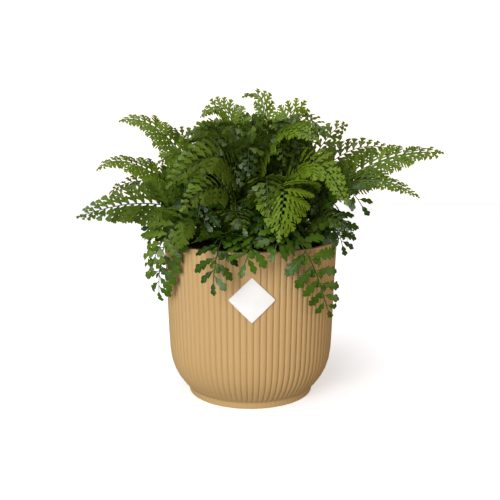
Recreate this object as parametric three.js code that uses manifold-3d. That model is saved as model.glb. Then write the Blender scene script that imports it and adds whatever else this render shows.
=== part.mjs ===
// A mother fern in a ribbed round pot, in millimetres and degrees.
// +Z is up, the front is -Y, and the origin is the middle of the pot's foot, on the surface it stands on.
import * as THREE from "three";
import { mergeVertices } from "three/addons/utils/BufferGeometryUtils.js";
import Module from "manifold-3d";

const wasm = await Module();
wasm.setup();

// Pot: the radius over the ribs' crests at each height, from the foot to the rim.
const POT_HEIGHT = 126.5;
const CRESTS = [
  [0, 51.3],
  [6, 52.6],
  [16, 60.5],
  [34, 66.3],
  [124, 69.9],
  [POT_HEIGHT, 70],
];
const RIBS = 86;
const RIB_DEPTH = 0.9;
const RIBS_FROM = 8;
const RIBS_TO = 125;
const CAVITY = [
  [0, 4],
  [46, 4],
  [56, 16.5],
  [61.8, 34],
  [65.5, POT_HEIGHT],
];
const CAVITY_SIDES = 36;

// The smooth panel on the front of the ribs, and the plain square label that is turned on its corner.
const PANEL_HALF_ANGLE = 540 / RIBS;
const PANEL_BOTTOM = 84;
const PANEL_PROUD = 0.1;
const LABEL_CENTRE = [1, 91];
const LABEL_SIDE = 24.3;
const LABEL_THICKNESS = 0.6;
const LABEL_STEPS = 4;

// Soil
const SOIL_TOP = 120;
const SOIL_RISE = 1.2;
const SOIL_RELIEF = 1.1;
const CROWN_RADIUS = 30;
const GAP = 0.4;

// Fronds: how deep a stem stands in the soil, and the stem's and the leaflets' sizes.
const ROOT_DEPTH = 6;
const RIB_WIDTH = 2;
const STEM_THICKNESS = 1.8;
const RIB_END_THICKNESS = 0.8;
const LEAF_THICKNESS = 0.6;
const STEM_STEPS = 3;

// The kinds of blade: its pairs of leaflets, where it starts as a share of the frond, how far its leaflets
// lean to the tip at its start and end, and their outline as shares of their length and of half their breadth.
const BROAD = {
  pairs: 5,
  start: 0.3,
  lean: [8, 40],
  outline: [
    [0.4, -1],
    [0.64, -0.6],
    [1, 0.1],
    [0.74, 0.62],
    [0.5, 1],
  ],
};
const CUT = {
  pairs: 6,
  start: 0.31,
  lean: [16, 46],
  outline: [
    [0.5, -1],
    [0.58, -0.35],
    [1, 0.15],
    [0.68, 0.4],
    [0.64, 1],
  ],
};
const FINE = {
  pairs: 9,
  start: 0.34,
  lean: [20, 50],
  outline: [
    [0.5, -1],
    [1, 0.2],
    [0.6, 1],
  ],
};

/** A frond: its stem's place, the place its rib arches over, its tip, its blade's roll and its longest leaflet. */
function frondOf(kind, foot, over, tip, roll, leaf) {
  return { kind, foot, over, tip, roll, leaf };
}

const FRONDS = {
  left_long: frondOf(CUT, [-15, -6], [-57, -26, 155], [-124, -50, 150], -36, 19),
  left_front_drooping: frondOf(BROAD, [-18, -11], [-54, -42, 140], [-66, -38, 84], -20, 12),
  left_front_broad: frondOf(CUT, [-13, -13], [-45, -50, 149], [-74, -64, 112], -20, 21),
  left_front_low: frondOf(BROAD, [-21, -2], [-58, -8, 141], [-88, -18, 127], -50, 14),
  left_middle: frondOf(CUT, [-17, 4], [-68, 10, 166], [-115, 14, 163], -40, 16),
  left_hooked: frondOf(FINE, [-12, -2], [-78, -3, 183], [-122, -14, 176], -32, 18),
  left_high: frondOf(FINE, [-9, 1], [-58, 4, 202], [-105, 8, 217], -32, 20),
  left_high_back: frondOf(CUT, [-9, 6], [-43, 26, 188], [-81, 38, 199], -50, 16),
  left_back: frondOf(CUT, [-13, 9], [-45, 31, 170], [-82, 62, 172], -50, 16),
  left_top: frondOf(CUT, [-4, 1], [-17, -11, 201], [-43, -32, 209], -45, 15),
  upper_left: frondOf(CUT, [-8, -4], [-34, -18, 184], [-68, -34, 190], -45, 16),
  front_left_high: frondOf(CUT, [-4, -8], [-16, -42, 188], [-56, -72, 177], -45, 19),
  front_left: frondOf(CUT, [-7, -12], [-16, -50, 169], [-45, -86, 162], -40, 17),
  front_left_inner: frondOf(CUT, [-6, -17], [-13, -55, 153], [-5, -86, 146], 0, 14),
  front_left_short: frondOf(BROAD, [-9, -23], [-19, -63, 138], [-26, -87, 108], 0, 13),
  front_short: frondOf(BROAD, [-1, -22], [5, -58, 140], [-4, -88, 122], 0, 14),
  front_right_short: frondOf(BROAD, [4, -22], [23, -52, 147], [17, -84, 132], 0, 13),
  front_middle: frondOf(CUT, [0, -12], [9, -45, 176], [12, -80, 158], 0, 15),
  front_bright: frondOf(FINE, [6, -15], [31, -54, 170], [23, -86, 135], 10, 26),
  front_right_drooping: frondOf(BROAD, [11, -20], [34, -66, 136], [62, -53, 76], 15, 15),
  upper_front: frondOf(FINE, [3, -6], [15, -34, 200], [47, -60, 206], 40, 16),
  centre_right: frondOf(FINE, [9, -10], [36, -41, 187], [67, -70, 163], 40, 18),
  right_inner: frondOf(CUT, [13, -16], [48, -46, 148], [73, -62, 140], 30, 14),
  right_broad: frondOf(BROAD, [21, -7], [55, -20, 147], [76, -26, 125], 40, 15),
  right_smooth: frondOf(BROAD, [16, -9], [56, -30, 167], [88, -48, 154], 40, 14),
  right_low: frondOf(FINE, [18, -2], [72, -12, 171], [128, -26, 160], 32, 15),
  right_long: frondOf(FINE, [14, 2], [82, 4, 178], [152, 6, 192], 34, 19),
  right_middle: frondOf(CUT, [11, 5], [68, 28, 191], [124, 38, 200], 48, 16),
  right_upright: frondOf(CUT, [8, -1], [52, 4, 194], [77, 14, 216], 50, 17),
  top_left: frondOf(FINE, [-4, 6], [-15, 25, 216], [-43, 40, 229], -60, 19),
  top: frondOf(FINE, [3, 10], [13, 30, 221], [-6, 42, 243], 0, 17),
  top_right: frondOf(FINE, [6, 4], [28, 14, 217], [50, 26, 222], 50, 17),
  top_front_right: frondOf(CUT, [5, -2], [29, -14, 208], [56, -36, 210], 30, 15),
  back_right_high: frondOf(CUT, [9, 10], [36, 42, 203], [76, 74, 204], 30, 18),
  back_right: frondOf(CUT, [14, 9], [58, 38, 172], [106, 66, 168], 30, 18),
  back_right_low: frondOf(BROAD, [20, 12], [54, 32, 146], [84, 52, 124], 30, 15),
  back_middle_right: frondOf(CUT, [7, 17], [26, 66, 178], [48, 114, 172], 0, 19),
  back_high: frondOf(CUT, [-5, 13], [-3, 51, 204], [2, 92, 212], 0, 16),
  back_left_high: frondOf(CUT, [-10, 9], [-34, 45, 199], [-60, 78, 206], -20, 16),
  back_middle: frondOf(CUT, [-2, 19], [-6, 74, 164], [-8, 122, 152], 0, 18),
  back_low: frondOf(BROAD, [5, 24], [18, 62, 140], [28, 90, 112], 0, 15),
  back_middle_left: frondOf(CUT, [-8, 15], [-30, 58, 180], [-58, 104, 174], 0, 19),
  back_low_left: frondOf(BROAD, [-12, 21], [-32, 56, 144], [-50, 84, 122], 0, 14),
  back_left_low: frondOf(BROAD, [-20, 9], [-58, 26, 146], [-88, 40, 128], -30, 15),
};

// How a leaflet's faces span its ring of points, by how many points lie on its rim.
const LEAFLET_FACES = {
  3: [
    [0, 1, 2],
    [0, 2, 4],
    [2, 3, 4],
  ],
  5: [
    [0, 1, 2],
    [0, 2, 4],
    [0, 4, 6],
    [2, 3, 4],
    [4, 5, 6],
  ],
};

const radians = THREE.MathUtils.degToRad;

/** Reads a rising list of [x, y] pairs at x. */
function readOff(pairs, x) {
  const upper = Math.max(1, pairs.findIndex((pair) => pair[0] >= x));
  const [x0, y0] = pairs[upper - 1];
  const [x1, y1] = pairs[upper];
  return y0 + ((y1 - y0) * (x - x0)) / (x1 - x0);
}

/** A closed surface as a solid, with its doubled corners joined and its empty triangles left out. */
function solidOf(geometry) {
  const bare = new THREE.BufferGeometry();
  bare.setAttribute("position", geometry.attributes.position);
  bare.setIndex(geometry.index);
  const merged = mergeVertices(bare, 1e-4);
  const corners = Array.from(merged.index.array);
  const kept = [];
  for (let i = 0; i < corners.length; i += 3) {
    const [a, b, c] = corners.slice(i, i + 3);
    if (a !== b && b !== c && c !== a) kept.push(a, b, c);
  }
  const vertProperties = new Float32Array(merged.attributes.position.array);
  return new wasm.Manifold(new wasm.Mesh({ numProp: 3, vertProperties, triVerts: new Uint32Array(kept) }));
}

/** A solid's surface. */
function geometryOf(solid) {
  const mesh = solid.getMesh();
  const geometry = new THREE.BufferGeometry();
  geometry.setAttribute("position", new THREE.BufferAttribute(new Float32Array(mesh.vertProperties), 3));
  geometry.setIndex(new THREE.BufferAttribute(new Uint32Array(mesh.triVerts), 1));
  geometry.computeVertexNormals();
  return geometry;
}

/** A profile of [radius, height] pairs, from the bottom to the top, turned about +Z. */
function turned(profile, sides) {
  const points = profile.map(([radius, z]) => new THREE.Vector2(radius, z));
  return new THREE.LatheGeometry(points, sides).rotateX(Math.PI / 2);
}

/** The pot's outside, with a crest and a groove column for each rib. */
function ribbedOutside() {
  const profile = [[0, 0], ...CRESTS.map(([z, radius]) => [radius, z]), [0, POT_HEIGHT]];
  const geometry = turned(profile, 2 * RIBS);
  const position = geometry.attributes.position;
  for (let i = 0; i < position.count; i++) {
    const [x, y, z] = [position.getX(i), position.getY(i), position.getZ(i)];
    if (z < RIBS_FROM || z > RIBS_TO) continue;
    const column = Math.round((Math.atan2(x, -y) / Math.PI) * RIBS);
    const shrink = column % 2 === 0 ? 1 : 1 - RIB_DEPTH / Math.hypot(x, y);
    position.setXY(i, x * shrink, y * shrink);
  }
  return geometry;
}

/** Lays a flat plate, drawn in X and Z with its outside at -Y, onto the crests of the ribs. */
function wrapped(plate, inner, outer) {
  const position = plate.attributes.position;
  for (let i = 0; i < position.count; i++) {
    const crest = readOff(CRESTS, position.getZ(i));
    const radius = crest + (position.getY(i) < 0 ? outer : inner);
    const angle = position.getX(i) / crest;
    position.setXY(i, radius * Math.sin(angle), -radius * Math.cos(angle));
  }
  plate.computeVertexNormals();
  return plate;
}

/** The pot: its ribs, the smooth panel on them and its cavity. */
function potGeometry() {
  const width = 2 * radians(PANEL_HALF_ANGLE) * readOff(CRESTS, POT_HEIGHT);
  const height = POT_HEIGHT - 0.5 - PANEL_BOTTOM;
  const panel = new THREE.BoxGeometry(width, 1, height, 6, 1, 1).translate(0, 0, PANEL_BOTTOM + height / 2);
  const cavity = turned([...CAVITY, [CAVITY.at(-1)[0], POT_HEIGHT + 5], [0, POT_HEIGHT + 5]], CAVITY_SIDES);
  const body = solidOf(ribbedOutside()).add(solidOf(wrapped(panel, -2, PANEL_PROUD)));
  return geometryOf(body.subtract(solidOf(cavity)));
}

/** The plain label, wrapped over the panel and the ribs beside it. */
function labelGeometry() {
  const [x, z] = LABEL_CENTRE;
  const plate = new THREE.BoxGeometry(LABEL_SIDE, 1, LABEL_SIDE, LABEL_STEPS, 1, LABEL_STEPS);
  plate.rotateY(Math.PI / 4).translate(x, 0, z);
  const under = PANEL_PROUD + GAP;
  return wrapped(plate, under, under + LABEL_THICKNESS);
}

/** The soil, which fills the pot, with a lumpy top and a plain hole for each stem. */
function soilGeometry() {
  const wall = CAVITY.map(([radius, z]) => [Math.max(0, radius - GAP), z + (z < 5 ? GAP : 0)]);
  const edge = wall.pop()[0] - 0.3;
  const rings = [edge, 56, 43, CROWN_RADIUS, 0].map((radius) => [radius, SOIL_TOP]);
  const geometry = turned([...wall, ...rings], CAVITY_SIDES);
  const position = geometry.attributes.position;
  for (let i = 0; i < position.count; i++) {
    const [x, y, z] = [position.getX(i), position.getY(i), position.getZ(i)];
    if (z < SOIL_TOP) continue;
    const out = Math.max(0, (Math.hypot(x, y) - CROWN_RADIUS) / (edge - CROWN_RADIUS));
    const lumps = Math.sin(0.31 * x + 1.3) * Math.cos(0.27 * y - 0.4) + 0.5 * Math.sin(0.6 * x - 0.5 * y);
    position.setZ(i, z + SOIL_RISE * (1 - out) + SOIL_RELIEF * lumps * 4 * out * (1 - out));
  }
  let soil = solidOf(geometry);
  for (const frond of Object.values(FRONDS)) soil = soil.subtract(solidOf(stemHole(frond)));
  return geometryOf(soil);
}

/** The plain four-sided hole that a frond's stem stands in. */
function stemHole(frond) {
  const length = 2 * (ROOT_DEPTH + 2);
  const hole = new THREE.BoxGeometry(RIB_WIDTH + 2 * GAP, length, STEM_THICKNESS + 4 * GAP);
  const { point, forward, side, normal } = ribFrame(ribCurve(frond), frond, 0.04);
  const place = new THREE.Matrix4().makeBasis(side, forward, normal);
  place.setPosition(point);
  return hole.applyMatrix4(place);
}

/** Two skins and the wall between them: a thin sheet that may bend any way. */
class Sheet {
  constructor() {
    this.points = [];
    this.faces = [];
  }

  /** Adds a point of the middle surface, with the way it is thickened, and returns its number. */
  point(middle, normal, thickness) {
    const top = middle.clone().addScaledVector(normal, thickness / 2);
    const bottom = middle.clone().addScaledVector(normal, -thickness / 2);
    this.points.push(top, bottom);
    return this.points.length / 2 - 1;
  }

  /** Adds a face by its points' numbers, turned over for the left side. */
  face([a, b, c], turnedOver = false) {
    this.faces.push(turnedOver ? [c, b, a] : [a, b, c]);
  }

  geometry() {
    const triangles = [];
    const open = new Map();
    for (const [a, b, c] of this.faces) {
      triangles.push(2 * a, 2 * b, 2 * c, 2 * c + 1, 2 * b + 1, 2 * a + 1);
      for (const [from, to] of [[a, b], [b, c], [c, a]]) {
        if (!open.delete(`${to},${from}`)) open.set(`${from},${to}`, [from, to]);
      }
    }
    for (const [from, to] of open.values()) {
      triangles.push(2 * from, 2 * from + 1, 2 * to, 2 * to, 2 * from + 1, 2 * to + 1);
    }
    const geometry = new THREE.BufferGeometry().setFromPoints(this.points);
    geometry.setIndex(triangles);
    geometry.computeVertexNormals();
    return geometry;
  }
}

/** The way a frond sets out, seen from above, in radians. */
function headingOf({ foot, over, tip }) {
  return Math.atan2((over[1] + tip[1]) / 2 - foot[1], (over[0] + tip[0]) / 2 - foot[0]);
}

/** A frond's rib, a parabola from its root in the soil, over its highest part, to its tip. */
function ribCurve({ foot, over, tip }) {
  const root = new THREE.Vector3(...foot, SOIL_TOP - ROOT_DEPTH);
  const end = new THREE.Vector3(...tip);
  const middle = new THREE.Vector3(...over);
  const pull = middle.multiplyScalar(2).addScaledVector(root, -0.5).addScaledVector(end, -0.5);
  return new THREE.QuadraticBezierCurve3(root, pull, end);
}

/** A place on the rib: its point, the way to the tip, the way to the right and the way its blade faces. */
function ribFrame(curve, frond, share) {
  const forward = curve.getTangentAt(share);
  const heading = headingOf(frond);
  const side = new THREE.Vector3(Math.sin(heading), -Math.cos(heading), 0);
  side.addScaledVector(forward, -side.dot(forward)).normalize();
  side.applyAxisAngle(forward, radians(frond.roll) * Math.min(1, 2 * share));
  return { point: curve.getPointAt(share), forward, side, normal: side.clone().cross(forward) };
}

/** Joins a leaflet, cut down to the rib, to two neighbouring joints of it. Hand is 1 right and -1 left. */
function addLeaflet(sheet, frame, outline, hand, length, halfBreadth, lean, lower, upper) {
  const [sin, cos] = [Math.sin(lean), Math.cos(lean)];
  const out = frame.side.clone().multiplyScalar(hand * cos).addScaledVector(frame.forward, sin);
  const across = frame.forward.clone().multiplyScalar(cos).addScaledVector(frame.side, -hand * sin);
  const rim = outline.map(([along, breadth]) => {
    const reach = along * length;
    const middle = frame.point.clone().addScaledVector(out, reach);
    middle.addScaledVector(across, breadth * halfBreadth);
    middle.addScaledVector(frame.normal, 0.22 * reach - (0.42 * reach * reach) / length);
    return sheet.point(middle, frame.normal, LEAF_THICKNESS);
  });
  const ring = [lower, ...rim, upper];
  for (const face of LEAFLET_FACES[rim.length]) sheet.face(face.map((corner) => ring[corner]), hand < 0);
}

/** A frond: its stem, its rib and the leaflets on both sides of it, as one thin arched sheet. */
function frondGeometry(frond) {
  const { kind } = frond;
  const curve = ribCurve(frond);
  const length = curve.getLength();
  const sheet = new Sheet();
  const joint = (share, hand) => {
    const { point, side, normal } = ribFrame(curve, frond, share);
    const width = (RIB_WIDTH / 2) * (1 - 0.6 * share);
    const thickness = THREE.MathUtils.lerp(STEM_THICKNESS, RIB_END_THICKNESS, share);
    return sheet.point(point.addScaledVector(side, hand * width), normal, thickness);
  };
  // The blade's places are closer together towards the tip. The left side's lie between the right side's.
  const bladeShare = (place) => {
    const share = place / (kind.pairs + 0.8);
    return kind.start + (1 - kind.start) * share * (1.22 - 0.22 * share);
  };
  const rib = [];
  for (let i = 0; i < STEM_STEPS; i++) {
    rib.push([1, -1].map((hand) => joint((kind.start * i) / STEM_STEPS, hand)));
  }
  for (let i = 0; i <= kind.pairs; i++) {
    rib.push([joint(bladeShare(i), 1), joint(bladeShare(i + 0.5), -1)]);
  }
  for (let i = 1; i < rib.length; i++) {
    sheet.face([rib[i - 1][1], rib[i - 1][0], rib[i][0]]);
    sheet.face([rib[i - 1][1], rib[i][0], rib[i][1]]);
  }
  const end = ribFrame(curve, frond, 1);
  sheet.face([rib.at(-1)[1], rib.at(-1)[0], sheet.point(end.point, end.normal, LEAF_THICKNESS)]);
  for (let i = 0; i < kind.pairs; i++) {
    for (const hand of [1, -1]) {
      const place = i + (hand > 0 ? 0.5 : 1);
      const along = place / (kind.pairs + 0.8);
      const size = frond.leaf * Math.min(0.75 + along, 1.22 - 1.05 * along);
      const lean = radians(THREE.MathUtils.lerp(...kind.lean, along));
      const step = (bladeShare(place + 0.5) - bladeShare(place - 0.5)) * length;
      const column = hand > 0 ? 0 : 1;
      const [lower, upper] = [rib[STEM_STEPS + i][column], rib[STEM_STEPS + i + 1][column]];
      const frame = ribFrame(curve, frond, bladeShare(place));
      addLeaflet(sheet, frame, kind.outline, hand, size, 0.45 * step * Math.cos(lean), lean, lower, upper);
    }
  }
  return sheet.geometry();
}

const material = (color, roughness) => new THREE.MeshStandardMaterial({ color, roughness });
const LOOKS = {
  pot: material("#d8b477", 0.6),
  soil: material("#2c201a", 0.95),
  label: material("#f4f4f1", 0.5),
  frond: material("#4c7a2a", 0.45),
};

const part = new THREE.Group();
part.name = "potted_parvati_mother_fern";

function addPiece(name, geometry, look) {
  const mesh = new THREE.Mesh(geometry, look);
  mesh.name = name;
  part.add(mesh);
}

addPiece("pot", potGeometry(), LOOKS.pot);
addPiece("soil", soilGeometry(), LOOKS.soil);
addPiece("label", labelGeometry(), LOOKS.label);
for (const [name, frond] of Object.entries(FRONDS)) {
  addPiece(`frond_${name}`, frondGeometry(frond), LOOKS.frond);
}

export default part;
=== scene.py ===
"""A mother fern in a ribbed round pot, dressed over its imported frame.

+Z is up, the front is -Y and the origin is the middle of the pot's foot. Sizes are in millimetres and degrees
where nothing else is said, and each finished piece is scaled to metres.
"""

import logging
import math
import random
from collections.abc import Callable, Sequence
from dataclasses import dataclass, field
from enum import Enum
from typing import Any

import bmesh
import bpy
from mathutils import Matrix, Vector, noise


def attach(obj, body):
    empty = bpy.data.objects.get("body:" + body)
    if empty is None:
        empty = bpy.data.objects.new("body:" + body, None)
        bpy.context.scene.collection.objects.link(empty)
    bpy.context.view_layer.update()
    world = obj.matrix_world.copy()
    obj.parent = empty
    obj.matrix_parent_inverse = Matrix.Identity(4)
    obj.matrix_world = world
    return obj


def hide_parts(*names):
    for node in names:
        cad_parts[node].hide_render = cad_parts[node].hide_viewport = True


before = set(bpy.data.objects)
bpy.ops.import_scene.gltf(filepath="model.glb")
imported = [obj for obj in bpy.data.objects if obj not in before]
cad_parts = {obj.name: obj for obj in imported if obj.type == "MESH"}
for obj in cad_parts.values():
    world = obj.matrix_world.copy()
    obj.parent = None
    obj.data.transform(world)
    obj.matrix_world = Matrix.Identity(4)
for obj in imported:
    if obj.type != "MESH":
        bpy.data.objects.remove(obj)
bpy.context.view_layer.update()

log = logging.getLogger("potted_fern")

Pair = tuple[float, float]
Pairs = tuple[Pair, ...]
Triple = tuple[float, float, float]
Mesh = bmesh.types.BMesh
Points = list[bmesh.types.BMVert]
Material = bpy.types.Material

MM = 0.001
BODY = "root"
SHARP_ANGLE = 38.0
EVEN_STEPS = 60
DENSE_STEPS = 400


# Helpers


def linear(colour: str) -> tuple[float, ...]:
    """Turns an sRGB hex colour to linear.

    Args:
        colour: The colour, such as "#D8B477".

    Returns:
        Red, green, blue and an alpha of one.
    """
    channels = [int(colour[i : i + 2], 16) / 255 for i in (1, 3, 5)]
    red, green, blue = (c / 12.92 if c <= 0.04045 else ((c + 0.055) / 1.055) ** 2.4 for c in channels)
    return (red, green, blue, 1.0)


def add_node(
    tree: bpy.types.NodeTree, kind: str, inputs: dict[str | int, Any] | None = None, **settings: Any
) -> bpy.types.Node:
    """Adds a node with its settings and its inputs.

    Args:
        tree: The node tree that it goes into.
        kind: The node's type, without the ShaderNode before it.
        inputs: For each input, by name or number, a value, or the socket that feeds it.
        **settings: The node's own settings.

    Returns:
        The new node.
    """
    node = tree.nodes.new(f"ShaderNode{kind}")
    for name, value in settings.items():
        setattr(node, name, value)
    for name, value in (inputs or {}).items():
        if isinstance(value, bpy.types.NodeSocket):
            tree.links.new(value, node.inputs[name])
        else:
            node.inputs[name].default_value = value
    return node


def new_material(name: str) -> tuple[Material, bpy.types.NodeTree, bpy.types.NodeSocket]:
    """Starts a material.

    Args:
        name: The material's name.

    Returns:
        The material, its tree and the socket that gives a point of the piece.
    """
    material = bpy.data.materials.new(name)
    material.use_nodes = True
    tree = material.node_tree
    tree.nodes.clear()
    return material, tree, add_node(tree, "TexCoord").outputs["Object"]


def ended(material: Material, colour: Any, bump: bpy.types.Node, look: dict[str, Any]) -> Material:
    """Ends a material in its shader and its output.

    Args:
        material: The material.
        colour: Its colour, or the socket that feeds it.
        bump: The node that gives the surface its relief.
        look: The shader's other inputs.

    Returns:
        The material.
    """
    inputs = {"Base Color": colour, "Normal": bump.outputs["Normal"], **look}
    shader = add_node(material.node_tree, "BsdfPrincipled", inputs)
    add_node(material.node_tree, "OutputMaterial", {"Surface": shader.outputs[0]})
    return material


def placed(name: str, data: bpy.types.ID) -> bpy.types.Object:
    """Puts a mesh, a light or a camera in the scene.

    Args:
        name: The object's name.
        data: The mesh, light or camera.

    Returns:
        The new object.
    """
    thing = bpy.data.objects.new(name, data)
    bpy.context.scene.collection.objects.link(thing)
    return thing


def read_off(pairs: Sequence[Pair], x: float) -> float:
    """Reads a rising list of pairs at x.

    Args:
        pairs: The pairs of x and y.
        x: Where to read.

    Returns:
        The y at x, on the straight line between two pairs.
    """
    for (x0, y0), (x1, y1) in zip(pairs, pairs[1:]):
        if x <= x1:
            return y0 + (y1 - y0) * max(0.0, x - x0) / (x1 - x0)
    return pairs[-1][1]


def eased(low: float, high: float, x: float) -> float:
    """Rises smoothly from 0 at low to 1 at high.

    Args:
        low: Where the rise starts.
        high: Where it ends.
        x: Where to read.

    Returns:
        The share of the rise.
    """
    share = min(1.0, max(0.0, (x - low) / (high - low)))
    return share * share * (3 - 2 * share)


def between(low: float, high: float, share: float) -> float:
    """The value at a share of the way from low to high."""
    return low + (high - low) * share


def swept(mesh: Mesh, columns: int, rings: int, settle: Callable[[Points, int], None]) -> None:
    """Extrudes a circle from ring to ring and closes both ends.

    Args:
        mesh: The mesh that it goes into.
        columns: How many columns go round.
        rings: How many rings there are.
        settle: Moves the points of a ring to their place, by the ring's number.
    """
    points = bmesh.ops.create_circle(mesh, cap_ends=False, segments=columns, radius=1.0)["verts"]
    edges = list({edge for point in points for edge in point.link_edges})
    for number in range(rings):
        if number:
            grown = bmesh.ops.extrude_edge_only(mesh, edges=edges)["geom"]
            points = [part for part in grown if isinstance(part, bmesh.types.BMVert)]
            edges = [part for part in grown if isinstance(part, bmesh.types.BMEdge)]
        settle(points, number)
    bmesh.ops.holes_fill(mesh, edges=[edge for edge in mesh.edges if edge.is_boundary], sides=0)
    bmesh.ops.recalc_face_normals(mesh, faces=mesh.faces)


def turned_shell(mesh: Mesh, rings: Sequence[Pair], columns: int, place: Callable[..., Vector]) -> None:
    """Sweeps a circle along the rings of a profile.

    Args:
        mesh: The mesh that it goes into.
        rings: The radius and height of each ring, in order along the profile.
        columns: How many columns go round.
        place: Gives a point of the surface for an angle from the front, a radius, a height and a ring number.
    """

    def settle(points: Points, number: int) -> None:
        """Moves a ring's points onto the shell.

        Args:
            points: The ring's points.
            number: The ring's number.
        """
        for point in points:
            point.co = place(math.atan2(point.co.x, -point.co.y), *rings[number], number)

    swept(mesh, columns, len(rings), settle)


def poured(mesh: Mesh, piece: Mesh) -> None:
    """Moves a small mesh into a large one.

    Args:
        mesh: The large mesh.
        piece: The small one, which is freed.
    """
    data = bpy.data.meshes.new("loose")
    piece.to_mesh(data)
    piece.free()
    mesh.from_mesh(data)
    bpy.data.meshes.remove(data)


def finished(
    name: str, mesh: Mesh, materials: Sequence[Material], nodes: Sequence[str] = ()
) -> bpy.types.Object:
    """Makes a mesh in millimetres a piece of the scene, in metres, and hides the frame's nodes that it
    replaces.

    Args:
        name: The piece's name.
        mesh: The mesh, which is freed.
        materials: The piece's materials, by the faces' material numbers.
        nodes: The frame's nodes that the piece replaces.

    Returns:
        The new object.
    """
    bmesh.ops.scale(mesh, vec=(MM, MM, MM), verts=mesh.verts)
    for face in mesh.faces:
        face.smooth = True
    data = bpy.data.meshes.new(name)
    mesh.to_mesh(data)
    mesh.free()
    data.set_sharp_from_angle(angle=math.radians(SHARP_ANGLE))
    for material in materials:
        data.materials.append(material)
    piece = placed(name, data)
    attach(piece, BODY)
    if nodes:
        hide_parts(*nodes)
    log.info("%s: %d faces", name, len(data.polygons))
    return piece


# Finishes


@dataclass(frozen=True)
class MouldedPlastic:
    """Through-coloured polypropylene, injection moulded in a finely etched mould.

    The cloud and the grit are the sizes of the colour's patches and of the grain, in millimetres.
    """

    name: str = "moulded_polypropylene_sand"
    colour: str = "#CAA872"
    deep_colour: str = "#C3A06B"
    cloud: float = 45.0
    grit: float = 0.5
    grit_depth: float = 0.05
    roughness: float = 0.52
    roughness_spread: float = 0.05

    def material(self) -> Material:
        """Gives the eye an even warm sand colour, a broad soft sheen and a faint grain.

        Returns:
            The new material.
        """
        material, tree, where = new_material(self.name)
        clouds = add_node(tree, "TexNoise", {"Vector": where, "Scale": 1 / (self.cloud * MM), "Detail": 2.0})
        colours = {0: clouds.outputs["Fac"], 6: linear(self.colour), 7: linear(self.deep_colour)}
        colour = add_node(tree, "Mix", colours, data_type="RGBA")
        # The etched grain is about 0.1 mm on the real pot, and is drawn coarser here so that it shows.
        etched = {"Vector": where, "Scale": 1 / (self.grit * MM), "Detail": 3.0}
        grain = add_node(tree, "TexNoise", etched).outputs["Fac"]
        bump = add_node(tree, "Bump", {"Strength": 0.25, "Distance": self.grit_depth * MM, "Height": grain})
        smooth, rough = self.roughness - self.roughness_spread, self.roughness + self.roughness_spread
        sheen = add_node(tree, "MapRange", {"Value": grain, "To Min": smooth, "To Max": rough})
        return ended(material, colour.outputs[2], bump, {"Roughness": sheen.outputs[0], "IOR": 1.49})


@dataclass(frozen=True)
class LabelFilm:
    """White polypropylene label film with nothing printed on it, and a ripple sized in millimetres."""

    name: str = "label_film_white"
    colour: str = "#FFFFFF"
    deep_colour: str = "#F4F4F2"
    ripple: float = 6.0
    ripple_depth: float = 0.1
    roughness: float = 0.35

    def material(self) -> Material:
        """Gives the eye a clean white with a satin sheen, ever so slightly rippled over the reeds.

        Returns:
            The new material.
        """
        material, tree, where = new_material(self.name)
        ripples = add_node(tree, "TexNoise", {"Vector": where, "Scale": 1 / (self.ripple * MM)}).outputs["Fac"]
        colours = {0: ripples, 6: linear(self.colour), 7: linear(self.deep_colour)}
        colour = add_node(tree, "Mix", colours, data_type="RGBA")
        relief = {"Strength": 0.15, "Distance": self.ripple_depth * MM, "Height": ripples}
        bump = add_node(tree, "Bump", relief)
        return ended(material, colour.outputs[2], bump, {"Roughness": self.roughness, "IOR": 1.49})


@dataclass(frozen=True)
class PottingSoil:
    """Damp potting soil of peat, bark and coir, with crumbs and bark of the given sizes in millimetres."""

    name: str = "potting_soil_damp"
    dark: str = "#2A1A12"
    brown: str = "#6E4632"
    crumb: float = 1.6
    crumb_depth: float = 0.6
    bark: float = 5.0
    bark_edge: Pair = (0.45, 0.8)
    roughness: float = 0.85

    def material(self) -> Material:
        """Gives the eye near-black crumbs with reddish-brown bark among them.

        Returns:
            The new material.
        """
        material, tree, where = new_material(self.name)
        grain = {"Vector": where, "Scale": 1 / (self.crumb * MM), "Detail": 5.0, "Roughness": 0.65}
        crumbs = add_node(tree, "TexNoise", grain).outputs["Fac"]
        bark = add_node(tree, "TexVoronoi", {"Vector": where, "Scale": 1 / (self.bark * MM)}).outputs["Color"]
        low, high = self.bark_edge
        patches = add_node(tree, "MapRange", {"Value": bark, "From Min": low, "From Max": high})
        amount = add_node(tree, "Math", {0: patches.outputs[0], 1: crumbs}, operation="MULTIPLY")
        colours = {0: amount.outputs[0], 6: linear(self.dark), 7: linear(self.brown)}
        colour = add_node(tree, "Mix", colours, data_type="RGBA")
        bump = add_node(tree, "Bump", {"Strength": 0.8, "Distance": self.crumb_depth * MM, "Height": crumbs})
        look = {"Roughness": self.roughness, "Specular IOR Level": 0.2}
        return ended(material, colour.outputs[2], bump, look)


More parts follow.
